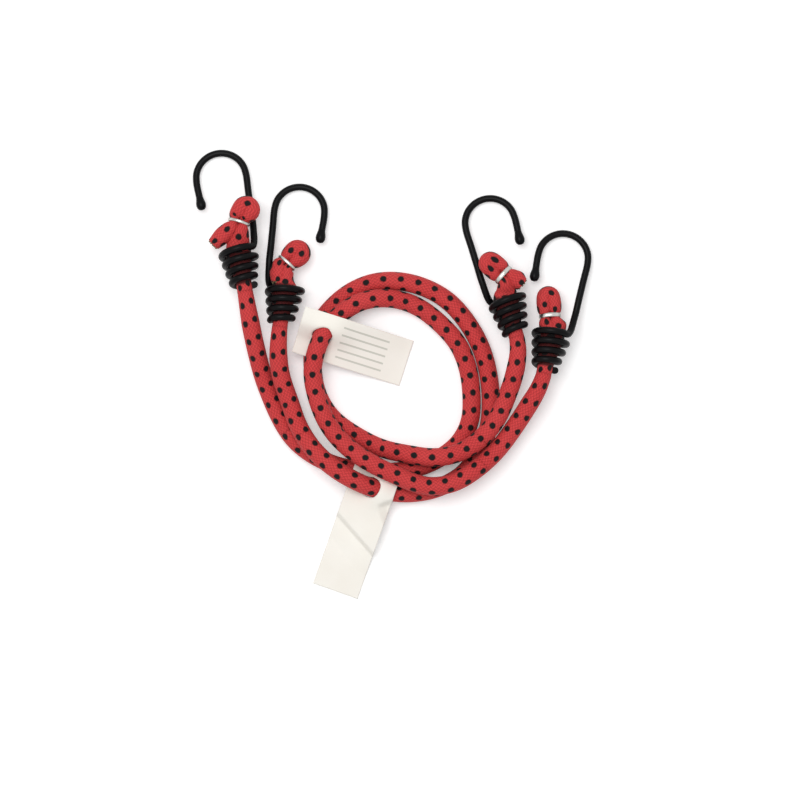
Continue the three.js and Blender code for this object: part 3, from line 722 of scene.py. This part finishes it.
crown_middle = SHANK_OFFSET - CROWN_RADIUS
wire_points = [Vector((crown_middle - CROWN_RADIUS + LEG_INWARD, CROWN_ALONG - LEG_LENGTH, 0))]
for step in range(CROWN_STEPS + 1):
    angle = math.pi * (1 - step / CROWN_STEPS)
    swing = Vector((math.cos(angle), math.sin(angle), 0)) * CROWN_RADIUS
    wire_points.append(Vector((crown_middle, CROWN_ALONG, 0)) + swing)
for step in range(1, SHANK_STEPS):
    share = step / SHANK_STEPS
    out = SHANK_OFFSET + (COIL_MOUTH - SHANK_OFFSET) * share
    wire_points.append(Vector((out, CROWN_ALONG - SHANK_LENGTH * share, 0)))
for step in range(1, COIL_TURNS * TURN_STEPS + 1):
    share = step / (COIL_TURNS * TURN_STEPS)
    angle = 2 * math.pi * step / TURN_STEPS
    radius = COIL_MOUTH + (COIL_NECK - COIL_MOUTH) * share
    down = NECK_RUN + COIL_LENGTH * (1 - share)
    wire_points.append(Vector((radius * math.cos(angle), down, radius * math.sin(angle))))
wire_line = smooth_line(wire_points, WIRE_SPACING)
print("hook wire", round(along(wire_line)[-1] / MM), "mm long")

# %% [markdown]
# The drop at the tip hung from the wire as the vinyl set, so it is round and a little long. Its outline is
# a few points from the wire out to the widest place and in to the end, spun once round the wire.

# %% Hooks and dipped tips
# How far out from the wire's middle, and how far past the wire's end, in millimetres
DROP_OUTLINE = [
    (1.55, -2.2), (1.68, -1.2), (1.95, -0.1), (2.17, 0.9), (2.2, 1.9), (1.95, 2.9), (1.3, 3.75), (0, 4.15)
]
DROP_STEPS = 20
DROP_ROUNDING = 0.3


def drop_mesh(at, ahead):
    """The drop's outline, spun round the wire's end."""
    bm = bmesh.new()
    across = ahead.orthogonal().normalized()
    verts = [bm.verts.new(at + ahead * (past * MM) + across * (out * MM)) for out, past in DROP_OUTLINE]
    edges = [bm.edges.new(pair) for pair in zip(verts, verts[1:])]
    bmesh.ops.subdivide_edges(bm, edges=edges, cuts=1, smooth=DROP_ROUNDING)
    bmesh.ops.spin(
        bm,
        geom=bm.verts[:] + bm.edges[:],
        cent=at,
        axis=ahead,
        angle=2 * math.pi,
        steps=DROP_STEPS,
        use_merge=True,
    )
    bmesh.ops.remove_doubles(bm, verts=bm.verts[:], dist=1e-6)
    rim = [edge for edge in bm.edges if edge.is_boundary]
    bmesh.ops.holes_fill(bm, edges=rim, sides=0)
    return bm


wire_sections = [(WIRE_RADIUS, WIRE_RADIUS)] * len(wire_line)
for number, end in ENDS.items():
    place = end_frame(end)
    if end["shank"] < 0:
        place = place @ Matrix.Rotation(math.pi, 4, "Y")
    bm = tube(wire_line, wire_sections, WIRE_SIDES, carried_sides(wire_line))
    bmesh.ops.transform(bm, matrix=place, verts=bm.verts[:])
    make_piece(bm, f"wire_hook_{number}", coating, "wire_black", f"hook_end_{number}", f"hook_{number}")
    bm = drop_mesh(wire_line[0], (wire_line[0] - wire_line[1]).normalized())
    bmesh.ops.transform(bm, matrix=place, verts=bm.verts[:])
    make_piece(bm, f"dipped_tip_{number}", coating, "wire_black", f"hook_end_{number}", f"tip_bead_{number}")

# %% [markdown]
# ## Zinc clips
#
# Zinc plating is a thin bright skin on drawn steel wire, with a cool, slightly cloudy shine. A noise the
# size of a few millimetres moves both its colour and its roughness.

# %% Clip material
zinc, tree, shader = new_material("zinc_plated_wire")
spot = add_node(tree, "ShaderNodeTexCoord", out="Object")
cloud = add_node(tree, "ShaderNodeTexNoise", {"Vector": spot, "Scale": 0.5 / MM, "Detail": 3.0})
cloudy = {"Factor": cloud, "A": linear("#A9A9A4"), "B": linear("#DEDDD8")}
tone = add_node(tree, "ShaderNodeMix", cloudy, "Result", data_type="RGBA")
gloss = add_node(tree, "ShaderNodeMapRange", {"Value": cloud, "To Min": 0.22, "To Max": 0.42})
tree.links.new(tone, shader.inputs["Base Color"])
tree.links.new(gloss, shader.inputs["Roughness"])
shader.inputs["Metallic"].default_value = 1.0
print("clips", zinc.name)

# %% [markdown]
# A clip is a short piece of that wire, bent round the fold's waist by a tool until its ends meet
# underneath. The tool presses the wire flatter, so the section is an oval, broad along the fold. Frames
# that turn as little as they can would let the oval roll, so here its broad side is held to the fold's own
# direction.

# %% Clips
CLIP_WIDTHS = {1: 0.75, 2: 0.75, 3: 1.05, 4: 1.05}  # half of each flattened wire's width, in millimetres
CLIP_HALF_THICK = 0.55
CLIP_OPENING = math.radians(24)  # left open where the ends meet
CLIP_STEPS = 64
for number, fold in FOLDS.items():
    end = ENDS[number]
    waist, ahead, aside, _ = fold_frame(fold)
    half_width = WAIST_SPREAD + WAIST[0] + CLIP_HALF_THICK
    half_height = WAIST[1] + CLIP_HALF_THICK
    line = []
    for step in range(CLIP_STEPS + 1):
        angle = -math.pi / 2 + CLIP_OPENING / 2 + (2 * math.pi - CLIP_OPENING) * step / CLIP_STEPS
        point = waist + aside * (half_width * math.cos(angle)) + UP * (half_height * math.sin(angle))
        line.append(Vector((end["shank"] * point.x, point.y, point.z)) * MM)
    ring_axis = Vector((end["shank"] * ahead.x, ahead.y, 0))
    frames = [(ring_axis, way.cross(ring_axis)) for way in ways_ahead(line)]
    section = (CLIP_WIDTHS[number] * MM, CLIP_HALF_THICK * MM)
    bm = tube(line, [section] * len(line), WIRE_SIDES, frames)
    bmesh.ops.transform(bm, matrix=end_frame(end), verts=bm.verts[:])
    make_piece(bm, f"zinc_clip_{number}", zinc, "clip_zinc", f"hook_end_{number}", f"wire_clip_{number}")

# %% [markdown]
# ## Card tags
#
# Each cord carries a punched tag of thin white card. Tag a lies with its side of grey ruled lines up, and
# tag b with its bare side up. The lines are worked out from the card's own UV map in metres, and the bare
# side has its map turned over, so no line falls on it. Card is matt, a little warm, with a faint fibre.

# %% Card material
CARD_UV = "across_and_down"
LINE_SPACING = 3.3 * MM
LINE_WIDTH = 0.8 * MM
LINES_ACROSS = (-7.4 * MM, 7.4 * MM)
LINES_DOWN = (19 * MM, 40 * MM)

card, tree, shader = new_material("matt_white_card")
spot = add_node(tree, "ShaderNodeTexCoord", out="Object")
fibre = add_node(tree, "ShaderNodeTexNoise", {"Vector": spot, "Scale": 1.6 / MM, "Detail": 3.0})
stain = add_node(tree, "ShaderNodeTexNoise", {"Vector": spot, "Scale": 0.06 / MM, "Detail": 2.0})
stained = {"Factor": stain, "A": linear("#F6F3EC"), "B": linear("#ECE7DD")}
bare = add_node(tree, "ShaderNodeMix", stained, "Result", data_type="RGBA")
uv = add_node(tree, "ShaderNodeUVMap", uv_map=CARD_UV)
places = add_node(tree, "ShaderNodeSeparateXYZ", {0: uv}).node.outputs
beside = add_node(tree, "ShaderNodeMath", {0: places["X"], 1: LINE_SPACING / 2}, operation="PINGPONG")
ruled = add_node(tree, "ShaderNodeMath", {0: beside, 1: LINE_WIDTH / 2}, operation="LESS_THAN")
for place, (low, high) in ((places["X"], LINES_ACROSS), (places["Y"], LINES_DOWN)):
    window = {0: place, 1: (low + high) / 2, 2: (high - low) / 2}
    inside = add_node(tree, "ShaderNodeMath", window, operation="COMPARE")
    ruled = add_node(tree, "ShaderNodeMath", {0: ruled, 1: inside}, operation="MULTIPLY")
inked = {"Factor": ruled, "A": bare, "B": linear("#CBCAC0")}
tone = add_node(tree, "ShaderNodeMix", inked, "Result", data_type="RGBA")
bump = add_node(tree, "ShaderNodeBump", {"Strength": 0.12, "Distance": 0.1 * MM, "Height": fibre})
tree.links.new(tone, shader.inputs["Base Color"])
tree.links.new(bump, shader.inputs["Normal"])
shader.inputs["Roughness"].default_value = 0.8
shader.inputs["Specular IOR Level"].default_value = 0.3
print("card lines every", round(LINE_SPACING / MM, 1), "mm")

# %% [markdown]
# A tag is bent over one strand and under another. A cloth simulation could drape it, but stiff card keeps
# the bends and creases that it was given, so its height comes from a few rows of values, smoothed, and from
# creases: past a crease the card goes down at a slope for a while.

# %% How the tags lie
CARD_WIDTH = 21 * MM
CARD_THICKNESS = 0.5 * MM
CREASE_FADE = 2  # millimetres in which a crease dies out past its ends

# Millimetres and degrees: the middle of the punched end, the heading of the long side, its length, the side
# that is up, the lowest place of the strand through the hole, the heights in rows down the card, and each
# crease's two ends across and down the card, its slope and how far it goes on
TAGS = {
    "a": dict(at=(-40.6, -29.8), heading=107.5, length=50, side=1, strand_from=-45, creases=[], heights=[
        (14.2, 13.4, 8.6, 8.3), (15.6, 15.4, 8.3, 8.2), (15.8, 15, 8.8, 7), (12.6, 10.4, 7.2, 5.4),
        (8.2, 6.4, 4.8, 3.4), (4, 3, 2.1, 1.4), (0.8, 0.5, 0.3, 0.25),
    ]),
    "b": dict(at=(-5.3, -91.3), heading=199.4, length=58, side=-1, strand_from=-110, creases=[
        ((12, 23.4), (-49, 57.6), 2.3, 1.5), ((-11.6, 24.8), (-5.2, 17.2), 0.9, 4),
    ], heights=[
        (8.6, 9, 8.7, 8.9), (10.8, 12, 7, 7.4), (8.8, 7.8, 6.4, 5.6), (7.8, 6.2, 5, 4.4),
        (5.4, 4.4, 3.8, 3.5), (3.6, 3.4, 3.3, 3.2), (3.3, 3.25, 3.25, 3.25),
    ]),
}


def through(values, share):
    """A smooth curve through evenly spaced values."""
    place = share * (len(values) - 1)
    index = min(int(place), len(values) - 2)
    t = place - index
    p0, p1, p2, p3 = (values[min(max(index + step, 0), len(values) - 1)] for step in (-1, 0, 1, 2))
    leave, arrive = (p2 - p0) / 2, (p3 - p1) / 2
    square = 3 * (p2 - p1) - 2 * leave - arrive
    cube = 2 * (p1 - p2) + leave + arrive
    return p1 + leave * t + square * t**2 + cube * t**3


def card_height(tag, x, y):
    """The card's height in metres at a place across and down it, in metres."""
    share_x = min(max(x / CARD_WIDTH + 0.5, 0), 1)
    share_y = min(max(y / MM / tag["length"], 0), 1)
    height = through([through(row, share_x) for row in tag["heights"]], share_y)
    for start, end, slope, reach in tag["creases"]:
        crease = Vector(end) - Vector(start)
        place = Vector((x / MM, y / MM)) - Vector(start)
        past = place.cross(crease.normalized())
        on = place.dot(crease.normalized())
        share = min(max(min(on, crease.length - on) / CREASE_FADE + 1, 0), 1)
        height -= slope * share * min(max(past, 0), reach)
    return max(height * MM, CARD_THICKNESS / 2)


print("card", round(CARD_WIDTH / MM), "mm wide, lengths", [tag["length"] for tag in TAGS.values()])

# %% [markdown]
# The card starts as a fine flat grid and is laid on those heights. A punch leaves a clean round edge, so
# the grid's points inside the hole are deleted, and the rim is moved on to the hole's edge, a little clear
# of the cord. A solidify modifier gives the sheet its thickness to both sides.

# %% Tags
CARD_CELL = 0.5 * MM
HOLE_RADIUS = CORD_RADIUS + 0.45 * MM  # a little clear of the cord
HOLE_DOWN = 9 * MM  # about where the hole is, down the card
HOLE_SEARCH = 14 * MM  # how far from there its strand is looked for
RIM_ROUNDS = 4


def nearest(point, line):
    return min(line, key=lambda other: (other - point).length_squared)


for name, tag in TAGS.items():
    length = tag["length"] * MM
    turn = math.radians(tag["heading"])
    down_way = Vector((math.sin(turn), math.cos(turn), 0))
    across_way = Vector((math.cos(turn), -math.sin(turn), 0))
    corner = Vector((*tag["at"], 0)) * MM

    def on_card(x, y):
        return corner + across_way * x + down_way * y + UP * card_height(tag, x, y)

    hole = corner + down_way * HOLE_DOWN
    near = [point for point in routes[name] if (point - hole).xy.length < HOLE_SEARCH]
    near = [point for point in near if point.y > tag["strand_from"] * MM]
    bm = bmesh.new()
    uv_layer = bm.loops.layers.uv.new(CARD_UV)
    cells = (round(CARD_WIDTH / CARD_CELL), round(length / CARD_CELL))
    bmesh.ops.create_grid(bm, x_segments=cells[0], y_segments=cells[1], size=0.5)
    spots = {}
    for vert in bm.verts:
        spots[vert] = (vert.co.x * CARD_WIDTH, (vert.co.y + 0.5) * length)
        vert.co = on_card(*spots[vert])
    edge_verts = {vert for vert in bm.verts if vert.is_boundary}
    inside = [vert for vert in bm.verts if (vert.co - nearest(vert.co, near)).length < HOLE_RADIUS]
    bmesh.ops.delete(bm, geom=inside, context="VERTS")
    rim = [vert for vert in bm.verts if vert.is_boundary and vert not in edge_verts]
    for _ in range(RIM_ROUNDS):
        for vert in rim:
            away = vert.co - nearest(vert.co, near)
            level = Vector((away.x, away.y, 0)).normalized()
            move = level * (HOLE_RADIUS - away.length)
            x, y = spots[vert]
            spots[vert] = (x + move.dot(across_way), y + move.dot(down_way))
            vert.co = on_card(*spots[vert])
    for face in bm.faces:
        for loop in face.loops:
            x, y = spots[loop.vert]
            loop[uv_layer].uv = (x, tag["side"] * y)
    piece = make_piece(bm, f"tag_{name}", card, "card_white", "looped_middle", f"card_tag_{name}")
    thick = piece.modifiers.new("card", "SOLIDIFY")
    thick.thickness = CARD_THICKNESS
    thick.offset = 0
    print("tag", name, len(rim), "points round its hole")

# %% [markdown]
# ## Light and table
#
# Soft light from a bright sky and one large lamp above gives gentle shading with no hard shadows. The table
# is a plain matt sheet, and it isn't part of the object.

# %% Lamp and table
LAMP_AT = Vector((-0.15, 0.15, 0.9))
LAMP_AIM = Vector((0, -0.05, 0))
TABLE_HALF_SIDE = 3
TABLE_DROP = 0.1 * MM  # keeps the table clear of what lies on it

lamp = bpy.data.objects.new("softbox", bpy.data.lights.new("softbox", "AREA"))
lamp.data.size = 0.5
lamp.data.energy = 4.5
lamp.location = LAMP_AT
lamp.rotation_euler = (LAMP_AIM - LAMP_AT).to_track_quat("-Z", "Y").to_euler()
scene.collection.objects.link(lamp)

bm = bmesh.new()
bmesh.ops.create_grid(bm, x_segments=1, y_segments=1, size=TABLE_HALF_SIDE)
bmesh.ops.translate(bm, verts=bm.verts[:], vec=-TABLE_DROP * UP)
mesh = bpy.data.meshes.new("table")
bm.to_mesh(mesh)
bm.free()
table = bpy.data.objects.new("table", mesh)
scene.collection.objects.link(table)
white, table_tree, shader = new_material("table_white")
mesh.materials.append(white)
shader.inputs["Base Color"].default_value = linear("#F2F2F2")
shader.inputs["Roughness"].default_value = 0.9
print("lamp", lamp.data.energy, "W")

# %% [markdown]
# The table has to come out as white as paper and still take the shadows. A stronger lamp would bleach the
# cords too, so the table gives a little light of its own, and the sky is brighter, but only as seen by the
# camera and in reflections. What lights the cords stays as it is.

# %% Sky and white table
SKY = 0.62
TABLE_GLOW = 0.25
world = bpy.data.worlds.new("studio")
world.use_nodes = True
scene.world = world
sky = world.node_tree.nodes["Background"]

shown = []
for tree in (world.node_tree, table_tree):
    rays = add_node(tree, "ShaderNodeLightPath").node.outputs
    seen = rays["Is Camera Ray"]
    for kind in ("Is Glossy Ray", "Is Transmission Ray"):
        seen = add_node(tree, "ShaderNodeMath", {0: seen, 1: rays[kind]}, operation="MAXIMUM")
    shown.append(seen)
strength = add_node(world.node_tree, "ShaderNodeMapRange", {"Value": shown[0], "To Min": SKY, "To Max": 1.0})
world.node_tree.links.new(strength, sky.inputs["Strength"])
sky.inputs["Color"].default_value = (1, 1, 1, 1)
glow = add_node(table_tree, "ShaderNodeMapRange", {"Value": shown[1], "To Max": TABLE_GLOW})
table_tree.links.new(glow, shader.inputs["Emission Strength"])
shader.inputs["Emission Color"].default_value = (1, 1, 1, 1)
print("sky", SKY, "and table glow", TABLE_GLOW)
